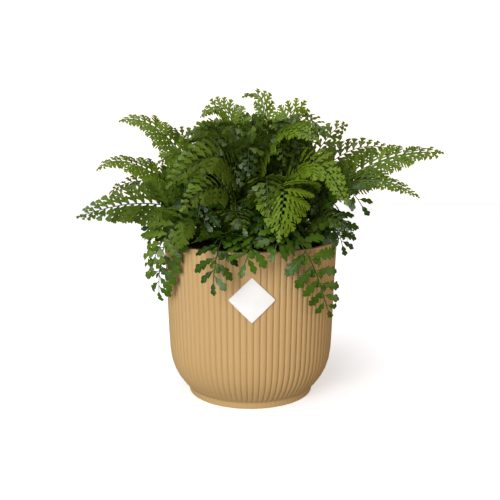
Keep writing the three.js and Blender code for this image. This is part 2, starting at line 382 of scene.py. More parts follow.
@dataclass(frozen=True)
class LeafTissue:
    """Leaf tissue of one age. The mesh gives each leaflet a tone, which is partly its age and partly painted
    light and shade, and its veins by its UV map.

    The mottle is the size of its paler patches in millimetres, and the mottle's share is how far they differ.
    A vein is drawn between two values of its own part of the map, its edge and its middle.
    """

    name: str
    dark: str
    light: str
    vein: str
    roughness: float
    gloss: float
    roughness_spread: float = 0.08
    mottle: float = 3.5
    mottle_share: float = 0.3
    lobe_vein: Pair = (0.8, 1.0)
    mid_vein: Pair = (0.16, 0.04)
    vein_depth: float = 0.15
    vein_share: float = 0.18
    under_share: float = 0.08

    def material(self) -> Material:
        """Gives the eye waxy green leaflets, each a little lighter or darker, with a fine vein in each lobe.

        Returns:
            The new material.
        """
        material, tree, where = new_material(self.name)
        tone = add_node(tree, "Attribute", attribute_name="tone").outputs["Fac"]
        under = add_node(tree, "Attribute", attribute_name="under").outputs["Fac"]
        patches = {"Vector": where, "Scale": 1 / (self.mottle * MM), "Detail": 3.0}
        mottle = add_node(tree, "TexNoise", patches).outputs["Fac"]
        ends = {"Value": mottle, "To Min": -self.mottle_share, "To Max": self.mottle_share}
        spread = add_node(tree, "MapRange", ends).outputs[0]
        share = add_node(tree, "Math", {0: tone, 1: spread}, operation="ADD", use_clamp=True).outputs[0]
        # The dark end is near black, so where the mesh sets a low tone this green is painted shade.
        colours = {0: share, 6: linear(self.dark), 7: linear(self.light)}
        colour = add_node(tree, "Mix", colours, data_type="RGBA").outputs[2]
        lobes = add_node(tree, "UVMap", uv_map="lobes").outputs[0]
        across = add_node(tree, "SeparateXYZ", {"Vector": lobes})
        lobe = add_node(tree, "Math", {0: across.outputs[0], 1: 1.0}, operation="PINGPONG")
        beside = add_node(tree, "Math", {0: across.outputs[1]}, operation="ABSOLUTE")
        veins = {}
        for number, (line, (edge, middle)) in enumerate(((lobe, self.lobe_vein), (beside, self.mid_vein))):
            reach = {"Value": line.outputs[0], "From Min": edge, "From Max": middle}
            veins[number] = add_node(tree, "MapRange", reach).outputs[0]
        vein = add_node(tree, "Math", veins, operation="MAXIMUM").outputs[0]
        # The veins and the undersides are both drawn in the vein's paler green.
        for amount, shown in ((vein, self.vein_share), (under, self.under_share)):
            part = add_node(tree, "Math", {0: amount, 1: shown}, operation="MULTIPLY").outputs[0]
            colours = {0: part, 6: colour, 7: linear(self.vein)}
            colour = add_node(tree, "Mix", colours, data_type="RGBA").outputs[2]
        relief = {"Strength": 0.5, "Distance": self.vein_depth * MM, "Height": vein}
        bump = add_node(tree, "Bump", relief, invert=True)
        smooth, rough = self.roughness - self.roughness_spread, self.roughness + self.roughness_spread
        sheen = add_node(tree, "MapRange", {"Value": mottle, "To Min": smooth, "To Max": rough})
        look = {"Roughness": sheen.outputs[0], "IOR": 1.45, "Specular IOR Level": self.gloss}
        return ended(material, colour, bump, look)


@dataclass(frozen=True)
class StemTissue:
    """The wiry stem, dark brown in the soil and green from the blade on, with streaks in millimetres."""

    name: str = "fern_stem"
    brown: str = "#2A1C10"
    green: str = "#2C3C12"
    streak: float = 2.5
    streak_depth: float = 0.1
    streak_share: float = 0.25
    roughness: float = 0.42

    def material(self) -> Material:
        """Gives the eye a smooth wiry stem with long faint streaks.

        Returns:
            The new material.
        """
        material, tree, where = new_material(self.name)
        along = add_node(tree, "Attribute", attribute_name="tone").outputs["Fac"]
        grain = {"Vector": where, "Scale": 1 / (self.streak * MM), "Detail": 4.0}
        streaks = add_node(tree, "TexNoise", grain).outputs["Fac"]
        ends = {"Value": streaks, "To Min": -self.streak_share, "To Max": self.streak_share}
        spread = add_node(tree, "MapRange", ends)
        share = add_node(tree, "Math", {0: along, 1: spread.outputs[0]}, operation="ADD", use_clamp=True)
        colours = {0: share.outputs[0], 6: linear(self.brown), 7: linear(self.green)}
        colour = add_node(tree, "Mix", colours, data_type="RGBA")
        bump = add_node(tree, "Bump", {"Strength": 0.3, "Distance": self.streak_depth * MM, "Height": streaks})
        return ended(material, colour.outputs[2], bump, {"Roughness": self.roughness})


@dataclass(frozen=True)
class StudioPaper:
    """White seamless paper on the studio's floor.

    The fibre is in millimetres. The paper's glow is painted light, and it rises from its first value to its
    second over its reach, in metres from the plant, so the weaker glow near the plant is a painted shadow
    round the pot.
    """

    name: str = "studio_paper_white"
    colour: str = "#F4F5F8"
    fibre: float = 2.0
    fibre_depth: float = 0.05
    roughness: float = 0.9
    glow: Pair = (0.53, 0.72)
    painted_shadow_reach: Pair = (0.08, 0.35)

    def material(self) -> Material:
        """Gives the eye a plain pale matt ground that glows, a painted light that fades it into the backdrop,
        and glows less near the plant, a painted shadow round the pot.

        Returns:
            The new material.
        """
        material, tree, where = new_material(self.name)
        fibres = add_node(tree, "TexNoise", {"Vector": where, "Scale": 1 / (self.fibre * MM)}).outputs["Fac"]
        bump = add_node(tree, "Bump", {"Strength": 0.05, "Distance": self.fibre_depth * MM, "Height": fibres})
        # Painted shadow: the glow grows weaker towards the plant, so the paper is darker round the pot's foot.
        away = add_node(tree, "VectorMath", {0: where}, operation="LENGTH").outputs["Value"]
        (near, far), (low, high) = self.painted_shadow_reach, self.glow
        ends = {"Value": away, "From Min": near, "From Max": far, "To Min": low, "To Max": high}
        glow = {
            "Emission Color": linear(self.colour),
            "Emission Strength": add_node(tree, "MapRange", ends).outputs["Result"],
        }
        look = {"Roughness": self.roughness, "Specular IOR Level": 0.1, **glow}
        return ended(material, linear(self.colour), bump, look)


# Pot, label and soil


@dataclass
class RibbedPot:
    """The round pot, with reeds round its outside and a smooth panel at the front in the place of three.

    The crests and the inside are radii at rising heights. The reeds rise at their feet and sink at their
    heads between two heights, and a reed's edges start later and stop sooner than its crest. A reed's section
    falls from the crest by a square and by a fifth power, in the two shares given.
    """

    crests: Pairs = (
        (0, 51.0), (2, 51.3), (4.4, 51.5), (5.2, 51.8), (6, 52.5), (7, 53.6), (9, 55.6), (12, 57.8),
        (16, 60.5), (21, 63.0), (28, 65.25), (37, 66.6), (50, 67.2), (88, 68.4),
        (98.7, 68.8), (124, 69.9), (126.5, 70),
    )
    inside: Pairs = ((4, 46), (16.5, 56), (34, 61.8), (126.5, 65.5))
    underside: Pairs = ((8.0, 1.5), (46.5, 1.5), (48.0, 0.0), (50.4, 0.0), (50.9, 0.15))
    outer_heights: tuple[float, ...] = (
        0.5, 1.5, 3, 4.6, 5.2, 5.6, 6, 6.5, 7, 7.6, 8.3, 9, 10.4, 12, 14, 16, 18.4, 21, 24.4, 28, 32.5, 37, 43,
        50, 62, 75, 83.8, 84.2, 95, 106, 115, 120, 122, 123, 123.6, 124.1, 124.6, 125.1, 125.6,
    )
    inner_heights: tuple[float, ...] = (124, 121, 117, 100, 60, 34, 16.5, 4)
    middle: Pair = (8.0, 4.0)
    height: float = 126.5
    ribs: int = 86
    rib_columns: int = 8
    groove: float = 1.1
    section: Pair = (0.46, 0.54)
    rib_foot: Pair = (4.0, 9.5)
    rib_foot_edge: float = 1.5
    rib_head: Pair = (123.4, 125.2)
    rib_head_edge: float = 0.6
    ring_foot: Pair = (0.3, 1.5)
    ring_share: float = 0.22
    flute: float = 0.15
    flute_foot: float = 34.0
    panel_ribs: int = 3
    panel_gap: float = 0.3
    panel_bottom: float = 84.0
    panel_proud: float = 0.1
    rim_edge: float = 0.5
    rim_chamfer: float = 0.15
    rim_rings: int = 6
    finish: MouldedPlastic = field(default_factory=MouldedPlastic)

    def groove_depth(self, angle: float, height: float) -> float:
        """How far the outside lies below the reeds' crests.

        Args:
            angle: The angle from the front, in radians.
            height: The height above the foot.

        Returns:
            The depth.
        """
        panel_half_angle = 180 * self.panel_ribs / self.ribs
        if abs(math.degrees(angle)) < panel_half_angle - self.panel_gap and height > self.panel_bottom:
            return -self.panel_proud
        phase = (angle * self.ribs / (2 * math.pi) + 0.5) % 1.0
        off = abs(2 * phase - 1)
        lag = self.rib_foot_edge * off
        foot = eased(self.rib_foot[0] + lag, self.rib_foot[1] + lag, height)
        foot = self.ring_share * eased(*self.ring_foot, height) + (1 - self.ring_share) * foot
        head = 1 - eased(self.rib_head[0] - self.rib_head_edge * (1 - off), self.rib_head[1], height)
        return self.groove * (self.section[0] * off**2 + self.section[1] * off**5) * foot * head

    def profile(self) -> list[Pair]:
        """Draws the pot's section as rings.

        Returns:
            The rings of the outside, the rim and the inside, from the recessed foot to the floor within.
        """
        outer, inner = read_off(self.crests, self.height), self.inside[-1][1]
        edge, chamfer, top = self.rim_edge, self.rim_chamfer, self.height
        rim = [(outer, top - edge), (outer - chamfer, top - chamfer), (outer - edge, top)]
        rim += [(inner + edge, top), (inner + chamfer, top - chamfer), (inner, top - edge)]
        outside = [(read_off(self.crests, height), height) for height in self.outer_heights]
        within = [(read_off(self.inside, height), height) for height in self.inner_heights]
        return [*self.underside, *outside, *rim, *within, self.middle]

    def place(self, angle: float, radius: float, height: float, number: int) -> Vector:
        """A point of the pot's surface.

        Args:
            angle: The angle from the front, in radians.
            radius: The profile's radius there.
            height: The profile's height there.
            number: The ring's number along the profile.

        Returns:
            The point.
        """
        outside = range(len(self.underside), len(self.underside) + len(self.outer_heights))
        if number in outside:
            radius -= self.groove_depth(angle, height)
        elif number > outside.stop + self.rim_rings and height > self.flute_foot:
            radius += self.flute * math.cos(angle * self.ribs)
        return Vector((radius * math.sin(angle), -radius * math.cos(angle), height))

    def build(self) -> None:
        """Builds and dresses the pot."""
        mesh = bmesh.new()
        turned_shell(mesh, self.profile(), self.ribs * self.rib_columns, self.place)
        finished("ribbed_pot", mesh, [self.finish.material()], ["pot"])


@dataclass
class BlankLabel:
    """The plain square label, turned on its corner and stuck over the panel and the reeds beside it."""

    pot: RibbedPot
    centre: Pair = (1.0, 91.0)
    side: float = 24.3
    thickness: float = 0.6
    stand_off: float = 0.5
    corner: float = 0.8
    corner_steps: int = 4
    steps: int = 28
    finish: LabelFilm = field(default_factory=LabelFilm)

    def build(self) -> None:
        """Builds and dresses the label."""
        mesh = bmesh.new()
        bmesh.ops.create_grid(mesh, x_segments=self.steps, y_segments=self.steps, size=self.side / 2)
        corners = [vert for vert in mesh.verts if len(vert.link_edges) == 2]
        rounding = {"offset": self.corner, "segments": self.corner_steps, "profile": 0.5, "material": -1}
        bmesh.ops.bevel(mesh, geom=corners, affect="VERTICES", **rounding)
        bmesh.ops.rotate(mesh, verts=mesh.verts, matrix=Matrix.Rotation(math.pi / 4, 3, "Z"))
        sheet = list(mesh.faces)
        bmesh.ops.solidify(mesh, geom=sheet, thickness=self.thickness)
        outward = max(vert.co.z for vert in mesh.verts)
        for vert in mesh.verts:
            across, up, depth = vert.co.x + self.centre[0], vert.co.y + self.centre[1], vert.co.z - outward
            crest = read_off(self.pot.crests, up)
            radius = crest + self.stand_off + self.thickness + depth
            vert.co = Vector((radius * math.sin(across / crest), -radius * math.cos(across / crest), up))
        bmesh.ops.recalc_face_normals(mesh, faces=mesh.faces)
        finished("blank_label", mesh, [self.finish.material()], ["label"])


@dataclass
class SoilBed:
    """The soil in the pot: a crumbly bed with loose crumbs, bark and fibres on it.

    The bed rises to the middle, and its relief is how high its lumps stand. The lumps are layers of noise,
    with how much each layer falls and shrinks, and how many there are. Most of the crumbs are small.
    """

    wall: Pairs = ((8.0, 4.4), (45.6, 4.4), (55.6, 16.5), (61.4, 34.0))
    radius: float = 64.7
    rings: int = 34
    columns: int = 150
    top: float = 119.6
    rise: float = 1.2
    rise_radius: float = 64.5
    relief: float = 1.3
    lump: float = 9.0
    lump_layers: tuple[float, float, int] = (0.9, 2.2, 5)
    lump_cut: float = 3.0
    crumbs: int = 850
    crumb_reach: float = 63.5
    crumb_room: float = 1.3
    crumb_sizes: Pair = (0.5, 1.7)
    crumb_dents: Pair = (0.75, 1.2)
    crumb_stretch: Pairs = ((0.8, 1.7), (0.6, 1.1), (0.45, 0.9))
    crumb_tilt: float = 0.5
    crumb_sink: Pair = (-0.2, 0.45)
    fibres: int = 150
    fibre_reach: float = 58.0
    fibre_length: Pair = (3.0, 8.0)
    fibre_radii: Pair = (0.18, 0.1)
    fibre_tilt: Pair = (-0.1, 0.25)
    fibre_lift: float = 0.5
    any_way: Pair = (0.0, 6.28)
    seed: int = 11
    finish: PottingSoil = field(default_factory=PottingSoil)

    def surface(self, x: float, y: float) -> float:
        """The height of the bed at a place in the pot.

        Args:
            x: The place's x.
            y: The place's y.

        Returns:
            The height.
        """
        out = min(1.0, math.hypot(x, y) / self.rise_radius)
        lumps = noise.fractal(Vector((x, y, self.lump_cut)) / self.lump, *self.lump_layers)
        return self.top + self.rise * (1 - out * out) + self.relief * lumps

    def place(self, angle: float, radius: float, height: float, number: int) -> Vector:
        """A point of the bed, lumpy on top.

        Args:
            angle: The angle from the front, in radians.
            radius: The profile's radius there.
            height: The profile's height there.
            number: The ring's number along the profile.

        Returns:
            The point.
        """
        x, y = radius * math.sin(angle), -radius * math.cos(angle)
        return Vector((x, y, height if number < len(self.wall) else self.surface(x, y)))

    def add_crumb(self, mesh: Mesh, draw: random.Random) -> None:
        """Lays one crumb or piece of bark on the bed.

        Args:
            mesh: The mesh that it goes into.
            draw: The seeded draw.
        """
        size = between(*self.crumb_sizes, draw.random() ** 2.5)
        reach = self.crumb_reach - self.crumb_room * size
        out, angle = reach * math.sqrt(draw.random()), draw.uniform(0, 2 * math.pi)
        x, y = out * math.cos(angle), out * math.sin(angle)
        crumb = bmesh.new()
        points = bmesh.ops.create_icosphere(crumb, subdivisions=1, radius=size)["verts"]
        for point in points:
            point.co *= draw.uniform(*self.crumb_dents)
        stretch = Vector([draw.uniform(*ends) for ends in self.crumb_stretch])
        turn = Matrix.Rotation(draw.uniform(*self.any_way), 3, "Z")
        turn = turn @ Matrix.Rotation(draw.uniform(-self.crumb_tilt, self.crumb_tilt), 3, "Y")
        bmesh.ops.scale(crumb, vec=stretch, verts=points)
        bmesh.ops.rotate(crumb, matrix=turn, verts=points)
        up = self.surface(x, y) + draw.uniform(*self.crumb_sink) * size
        bmesh.ops.translate(crumb, vec=(x, y, up), verts=points)
        poured(mesh, crumb)

    def add_fibre(self, mesh: Mesh, draw: random.Random) -> None:
        """Lays one coir fibre on the bed.

        Args:
            mesh: The mesh that it goes into.
            draw: The seeded draw.
        """
        out = self.fibre_reach * math.sqrt(draw.random())
        angle, way = draw.uniform(*self.any_way), draw.uniform(*self.any_way)
        x, y, length = out * math.cos(angle), out * math.sin(angle), draw.uniform(*self.fibre_length)
        thick, thin = self.fibre_radii
        fibre = bmesh.new()
        bmesh.ops.create_cone(fibre, cap_ends=True, segments=4, radius1=thick, radius2=thin, depth=length)
        tilt = Matrix.Rotation(math.pi / 2 - draw.uniform(*self.fibre_tilt), 3, "Y")
        bmesh.ops.rotate(fibre, matrix=Matrix.Rotation(way, 3, "Z") @ tilt, verts=fibre.verts)
        bmesh.ops.translate(fibre, vec=(x, y, self.surface(x, y) + self.fibre_lift), verts=fibre.verts)
        poured(mesh, fibre)

    def build(self) -> None:
        """Builds and dresses the bed."""
        draw = random.Random(self.seed)
        mesh = bmesh.new()
        rings = [(self.radius * (1 - step / self.rings), self.top) for step in range(self.rings)]
        turned_shell(mesh, [*self.wall, *rings], self.columns, self.place)
        for _ in range(self.crumbs):
            self.add_crumb(mesh, draw)
        for _ in range(self.fibres):
            self.add_fibre(mesh, draw)
        finished("soil_bed", mesh, [self.finish.material()], ["soil"])


# Fronds


class Habit(Enum):
    """How far a frond's leaflets are cut, which comes with its age."""

    BROAD = "old_frond"
    CUT = "frond"
    FINE = "young_frond"


@dataclass(frozen=True)
class BaseLobe:
    """The small lobe at the foot of a broad leaflet, in shares of the leaflet and of the step to the next.

    It leans further forward than its leaflet, by radians, and only the leaflets below its reach have one.
    """

    size: float = 0.4
    breadth: float = 0.45
    lean: float = 0.45
    ahead: float = 0.12
    reach: float = 0.8


@dataclass(frozen=True)
class Cut:
    """The leaflets of one habit.

    The spacing is a share of the frond's longest leaflet, and the room is how much of that step half a
    leaflet may fill. The blade begins at the bare share of the rib, and the leaflets' sizes go by how far
    they stand from the start to the tip. The growth is their size, and the fall is how soon they shrink. They
    lean forward from the first angle to the second, in degrees. Half the breadth and the pleat are shares of
    a leaflet's length, and the end leaf is one of the longest leaflet's. The lobes lean by degrees. The
    outline is how broad a leaflet is at each place along it. A lobe's edge is how far out it lies at each
    place along the lobe, from the notch to the lobe's end.
    """

    spacing: float
    room: float
    start: float
    bare: float
    growth: float
    fall: float
    lean: Pair
    breadth: float
    outline: Pairs
    lobe_pitch: float
    lobe_edge: Pairs
    notch: float
    lobe_lean: float
    pleat: float
    rows: int
    end_leaf: float
    tissue: LeafTissue
    base_lobe: BaseLobe | None = None
    stalk_breadth: float = 0.08
    last_notch: float = 0.93
    end_columns: Pairs = ((0.96, 0.9), (1.04, 0.66), (1.1, 0.0))

    def columns(self, lobes: int) -> list[Triple]:
        """The leaflet's columns, from its stalk to its tip.

        Args:
            lobes: How many lobes a side it has.

        Returns:
            For each column, its place along the leaflet and its half breadth, as shares, and its lobe.
        """
        stalk = self.outline[1][0]
        found = [(0.0, self.stalk_breadth, 0.0), (0.6 * stalk, self.stalk_breadth, 0.0)]
        for lobe in range(lobes):
            for phase, reach in self.lobe_edge:
                along = stalk + (self.last_notch - stalk) * (lobe + phase) / lobes
                half = read_off(self.outline, along) * between(self.notch, 1.0, reach)
                found.append((along, half, lobe + phase))
        end = self.outline[-1][1]
        return found + [(along, reach * end, float(lobes)) for along, reach in self.end_columns]


# Each tissue's dark end is near black, so that the low tones paint shade deep in the plant.
CUTS = {
    Habit.BROAD: Cut(
        spacing=0.7,
        room=0.64,
        start=0.3,
        bare=0.24,
        growth=0.98,
        fall=0.42,
        lean=(8, 40),
        breadth=0.28,
        outline=((0.0, 0.1), (0.14, 0.16), (0.32, 0.62), (0.56, 1.0), (0.78, 0.96), (1.0, 0.5)),
        lobe_pitch=5.0,
        lobe_edge=((0.0, 0.0), (0.12, 0.3), (0.24, 0.82), (0.46, 1.0), (0.7, 0.92), (0.9, 0.5)),
        notch=0.46,
        lobe_lean=58,
        pleat=0.03,
        rows=4,
        end_leaf=0.46,
        base_lobe=BaseLobe(),
        tissue=LeafTissue("fern_leaf_old", "#142A04", "#496916", "#647F2A", 0.3, 0.3),
    ),
    Habit.CUT: Cut(
        spacing=0.38,
        room=1.0,
        start=0.31,
        bare=0.2,
        growth=0.99,
        fall=0.8,
        lean=(10, 42),
        breadth=0.38,
        outline=((0.0, 0.1), (0.06, 0.58), (0.3, 0.88), (0.58, 1.0), (0.82, 0.94), (1.0, 0.55)),
        lobe_pitch=4.3,
        lobe_edge=((0.0, 0.0), (0.28, 0.1), (0.38, 0.76), (0.56, 1.0), (0.78, 0.96), (0.94, 0.6)),
        notch=0.38,
        lobe_lean=42,
        pleat=0.035,
        rows=2,
        end_leaf=0.3,
        tissue=LeafTissue("fern_leaf_mature", "#132603", "#596F1E", "#6C7F34", 0.31, 0.3),
    ),
    Habit.FINE: Cut(
        spacing=0.34,
        room=1.05,
        start=0.34,
        bare=0.22,
        growth=1.0,
        fall=0.8,
        lean=(16, 46),
        breadth=0.44,
        outline=((0.0, 0.1), (0.04, 0.6), (0.3, 0.95), (0.55, 1.0), (0.8, 0.8), (1.0, 0.3)),
        lobe_pitch=3.0,
        lobe_edge=((0.0, 0.0), (0.36, 0.0), (0.44, 0.8), (0.66, 1.0), (0.92, 0.8)),
        notch=0.33,
        lobe_lean=40,
        pleat=0.01,
        rows=2,
        end_leaf=0.3,
        tissue=LeafTissue("fern_leaf_young", "#234206", "#647B1A", "#758B30", 0.38, 0.24),
    ),
}


def new_foliage_mesh() -> Mesh:
    """Starts a mesh for leaflets.

    Returns:
        A mesh with their tone, which side is under, the way they face and the UV map of their veins.
    """
    mesh = bmesh.new()
    mesh.verts.layers.float.new("tone")
    mesh.verts.layers.float.new("under")
    mesh.verts.layers.float_vector.new("faces_way")
    mesh.loops.layers.uv.new("lobes")
    return mesh


@dataclass(frozen=True)
class Station:
    """A place on a frond's rib, with the ways to its tip, to its right and out of its blade's face."""

    point: Vector
    forward: Vector
    side: Vector
    normal: Vector


@dataclass(frozen=True)
class Chance:
    """What differs from leaflet to leaflet, each as a mean and a spread.

    The tilt, the twist and the lean are in degrees, and the lean is added to the habit's. The sickle, the cup
    and the droop bend a leaflet forward, across and down, as shares of its size. The shade is added to the
    tone.
    """

    tilt: Pair = (14, 5)
    twist: Pair = (0, 10)
    sickle: Pair = (0.1, 0.05)
    cup: Pair = (0.16, 0.07)
    droop: Pair = (0.32, 0.07)
    shade: Pair = (0, 0.12)
    size: Pair = (1, 0.06)
    lean: Pair = (0, 4)


@dataclass(frozen=True)
class Frond:
    """One frond, from its foot in the soil, over its highest part, to its tip.

    The roll turns its blade to one side, in degrees. The leaf is the length of its longest leaflets, and its
    tone goes from dark at 0 to light at 1. Its stem is bare for at least the bare share of the rib. The splay
    leans its lowest leaflets back, in degrees, and a crowd above 1 sets them closer than its habit does. They
    grow from the first size towards the peak size and shrink again. The first step between them is longer
    than the mean by the step's fall, and the last is shorter by as much.
    """

    name: str
    habit: Habit
    foot: Pair
    over: Triple
    tip: Triple
    roll: float
    leaf: float
    tone: float
    bare: float = 0.0
    splay: float = 0.0
    crowd: float = 1.0
    root_height: float = 114.0
    stem_radius: float = 0.9
    rib_end_radius: float = 0.3
    rib_flatness: float = 0.85
    rib_steps: int = 28
    rib_columns: int = 7
    green_reach: Pair = (0.02, 0.4)
    roll_gain: float = 1.35
    sway: float = 0.7
    sway_waves: float = 7.0
    leaf_thickness: float = 0.3
    leaf_rise: float = 0.22
    first_lobe_lean: float = 68.0
    tip_tone: float = 0.12
    first_size: float = 0.75
    peak_size: float = 1.22
    step_fall: float = 0.22
    fewest_pairs: int = 6
    chance: Chance = Chance()
    scales: int = 14
    scale_reach: Pair = (0.035, 0.13)
    scale_length: float = 2.4
    scale_radii: Pair = (0.35, 0.02)
    scale_spread: Pair = (0.25, 0.7)

    def points(self) -> list[Vector]:
        """Divides the rib's parabola into even steps.

        Returns:
            The ends of the steps, from the root to the tip.
        """
        root, over, tip = Vector((*self.foot, self.root_height)), Vector(self.over), Vector(self.tip)
        pull = 2 * over - (root + tip) / 2
        dense = []
        for step in range(DENSE_STEPS + 1):
            t = step / DENSE_STEPS
            dense.append((1 - t) ** 2 * root + 2 * t * (1 - t) * pull + t * t * tip)
        reached = [0.0]
        for before, after in zip(dense, dense[1:]):
            reached.append(reached[-1] + (after - before).length)
        even, number = [], 0
        for step in range(EVEN_STEPS + 1):
            goal = reached[-1] * step / EVEN_STEPS
            while number < DENSE_STEPS - 1 and reached[number + 1] < goal:
                number += 1
            share = (goal - reached[number]) / (reached[number + 1] - reached[number])
            even.append(dense[number].lerp(dense[number + 1], share))
        return even

    def station(self, points: Sequence[Vector], share: float) -> Station:
        """A place on the rib, by its share of the rib's length.

        Args:
            points: The rib's even steps.
            share: The share of its length from the root.

        Returns:
            The place.
        """
        exact = min(EVEN_STEPS - 0.001, max(0.0, share * EVEN_STEPS))
        number = int(exact)
        point = points[number].lerp(points[number + 1], exact - number)
        forward = (points[min(EVEN_STEPS, number + 2)] - points[max(0, number - 1)]).normalized()
        ahead = (Vector(self.over) + Vector(self.tip)) / 2
        heading = math.atan2(ahead.y - self.foot[1], ahead.x - self.foot[0])
        side = Vector((math.sin(heading), -math.cos(heading), 0.0))
        side = (side - forward * side.dot(forward)).normalized()
        # The roll comes in over the lower half of the rib.
        roll = math.radians(self.roll_gain * self.roll) * min(1.0, 2 * share)
        side = Matrix.Rotation(roll, 3, forward) @ side
        wave = self.sway * math.sin(self.sway_waves * share + self.leaf) * 4 * share * (1 - share)
        return Station(point + side * wave, forward, side, side.cross(forward))

    def add_leaflet(
        self,
        mesh: Mesh,
        station: Station,
        hand: int,
        length: float,
        half_breadth: float,
        lean: float,
        draw: random.Random,
    ) -> None:
        """Grows one leaflet, as a sheet, out of the rib.

        Args:
            mesh: The mesh that it goes into.
            station: The place on the rib.
            hand: 1 on the right and -1 on the left.
            length: The leaflet's length.
            half_breadth: Half its breadth at its broadest.
            lean: How far it leans to the frond's tip, in radians.
            draw: The seeded draw.
        """
        cut, chance = CUTS[self.habit], self.chance
        count = max(2, round(0.92 * length / cut.lobe_pitch))
        columns = cut.columns(count)
        tone, faces_way = mesh.verts.layers.float["tone"], mesh.verts.layers.float_vector["faces_way"]
        lobes = mesh.loops.layers.uv["lobes"]
        steps = len(columns) - 1
        out = station.side * (hand * math.cos(lean)) + station.forward * math.sin(lean)
        across = station.forward * math.cos(lean) - station.side * (hand * math.sin(lean))
        tilt, twist = math.radians(draw.gauss(*chance.tilt)), math.radians(draw.gauss(*chance.twist))
        sickle, cup, droop = draw.gauss(*chance.sickle), draw.gauss(*chance.cup), draw.gauss(*chance.droop)
        shade = min(1.0, max(0.0, self.tone + draw.gauss(*chance.shade)))
        grid = bmesh.ops.create_grid(mesh, x_segments=steps, y_segments=cut.rows, size=1.0)["verts"]
        for vert in grid:
            column = round((vert.co.x + 1) / 2 * steps)
            row = 2 * round((vert.co.y + 1) / 2 * cut.rows) / cut.rows - 1
            along, reach, number = columns[column]
            # The half towards the frond's tip is the broader one, most of all by the stalk.
            upper = 1.25 - 0.35 * along if row > 0 else between(0.82, 1.0, min(1.0, 3 * along))
            width = half_breadth * reach * abs(row) * upper
            lobed = 1.0 if column > 1 else 0.0
            # The lobes next to the rib stand out from the leaflet more than the ones at its end.
            degrees = between(self.first_lobe_lean, cut.lobe_lean, min(1.0, 2 * along)) if lobed else 90
            lobe_lean = math.radians(degrees)
            ahead = along * length + math.cos(lobe_lean) * width
            beside = math.copysign(width * math.sin(lobe_lean), row)
            rise = self.leaf_rise * ahead - droop * ahead * ahead / length
            rise -= cup * beside * beside / half_breadth
            rise += cut.pleat * length * lobed * abs(row) * math.sin(math.pi * (number % 1))
            turn = tilt + twist * along
            beside, rise = beside * math.cos(turn), rise + beside * math.sin(turn)
            place = out * ahead + across * (beside + sickle * ahead * ahead / length) + station.normal * rise
            vert.co = station.point + place
            vert[tone] = min(1.0, max(0.0, shade + self.tip_tone * along))
            vert[faces_way] = station.normal
            for loop in vert.link_loops:
                loop[lobes].uv = (number * 2, row)
        if hand < 0:
            bmesh.ops.reverse_faces(mesh, faces=list({face for vert in grid for face in vert.link_faces}))

    def add_blade(self, mesh: Mesh, points: Sequence[Vector], draw: random.Random) -> None:
        """Grows the leaflets on both sides of the rib and the one at its tip.

        Args:
            mesh: The mesh that they go into.
            points: The rib's even steps.
            draw: The seeded draw.
        """
        cut, lobe = CUTS[self.habit], CUTS[self.habit].base_lobe
        length = sum((after - before).length for before, after in zip(points, points[1:]))
        bare = max(cut.bare, self.bare)
        blade = (1 - bare) * length
        pairs = max(self.fewest_pairs, round(self.crowd * blade / (cut.spacing * self.leaf)))
        start, end = cut.start - cut.bare + bare, 0.5 * cut.end_leaf
        span = pairs + 0.6
        for number in range(pairs):
            # Each leaflet on the left stands almost half a step nearer the tip than its pair.
            for hand, late in ((1, 0.5), (-1, 0.95)):
                place = (number + late) / span
                share = bare + (1 - bare) * place * (1 + self.step_fall - self.step_fall * place)
                step = blade * (1 + self.step_fall - 2 * self.step_fall * place) / span
                p = (share - start) / (1 - start)
                falling = end + (self.peak_size - end) * (1 - p) ** cut.fall
                size = self.leaf * cut.growth * min(self.first_size + p, falling)
                size *= draw.gauss(*self.chance.size)
                lean = between(cut.lean[0] - self.splay, cut.lean[1], max(0.0, p))
                lean = math.radians(lean + draw.gauss(*self.chance.lean))
                room = cut.room * self.crowd * step * math.cos(lean) / math.sin(math.radians(cut.lobe_lean))
                half = min(cut.breadth * size, room)
                self.add_leaflet(mesh, self.station(points, share), hand, size, half, lean, draw)
                if lobe and p < lobe.reach:
                    small, ahead = lobe.size * size, self.station(points, share + lobe.ahead * step / length)
                    self.add_leaflet(mesh, ahead, hand, small, lobe.breadth * small, lean + lobe.lean, draw)
        last = self.leaf * cut.end_leaf
        self.add_leaflet(mesh, self.station(points, 0.985), 1, last, 0.32 * last, math.pi / 2, draw)
        bmesh.ops.remove_doubles(mesh, verts=mesh.verts, dist=0.001)
        under, faces_way = mesh.verts.layers.float["under"], mesh.verts.layers.float_vector["faces_way"]
        sheet = [*mesh.verts, *mesh.edges, *mesh.faces]
        for part in bmesh.ops.extrude_face_region(mesh, geom=sheet, use_keep_orig=True)["geom"]:
            if isinstance(part, bmesh.types.BMVert):
                part[under] = 1.0
                part.co -= part[faces_way] * self.leaf_thickness
        bmesh.ops.recalc_face_normals(mesh, faces=mesh.faces)

    def add_rib(self, mesh: Mesh, points: Sequence[Vector]) -> None:
        """Sweeps the stem and the rib as one tapering tube.

        Args:
            mesh: The mesh that it goes into.
            points: The rib's even steps.
        """
        stem = new_foliage_mesh()
        tone = stem.verts.layers.float["tone"]
        before = Matrix.Identity(4)

        def settle(ring: Points, step: int) -> None:
            """Moves a ring's points on from the last station to the next.

            Args:
                ring: The ring's points.
                step: The ring's number.
            """
            nonlocal before
            share = step / self.rib_steps
            place = self.station(points, share)
            radius = between(self.stem_radius, self.rib_end_radius, share**0.5)
            turn = Matrix((place.side * radius, place.normal * radius * self.rib_flatness, place.forward))
            after = Matrix.Translation(place.point) @ turn.transposed().to_4x4()
            bmesh.ops.transform(stem, matrix=after @ before.inverted(), verts=ring)
            for vert in ring:
                vert[tone] = eased(*self.green_reach, share)
            before = after

        swept(stem, self.rib_columns, self.rib_steps + 1, settle)
        for face in stem.faces:
            face.material_index = 1
        poured(mesh, stem)

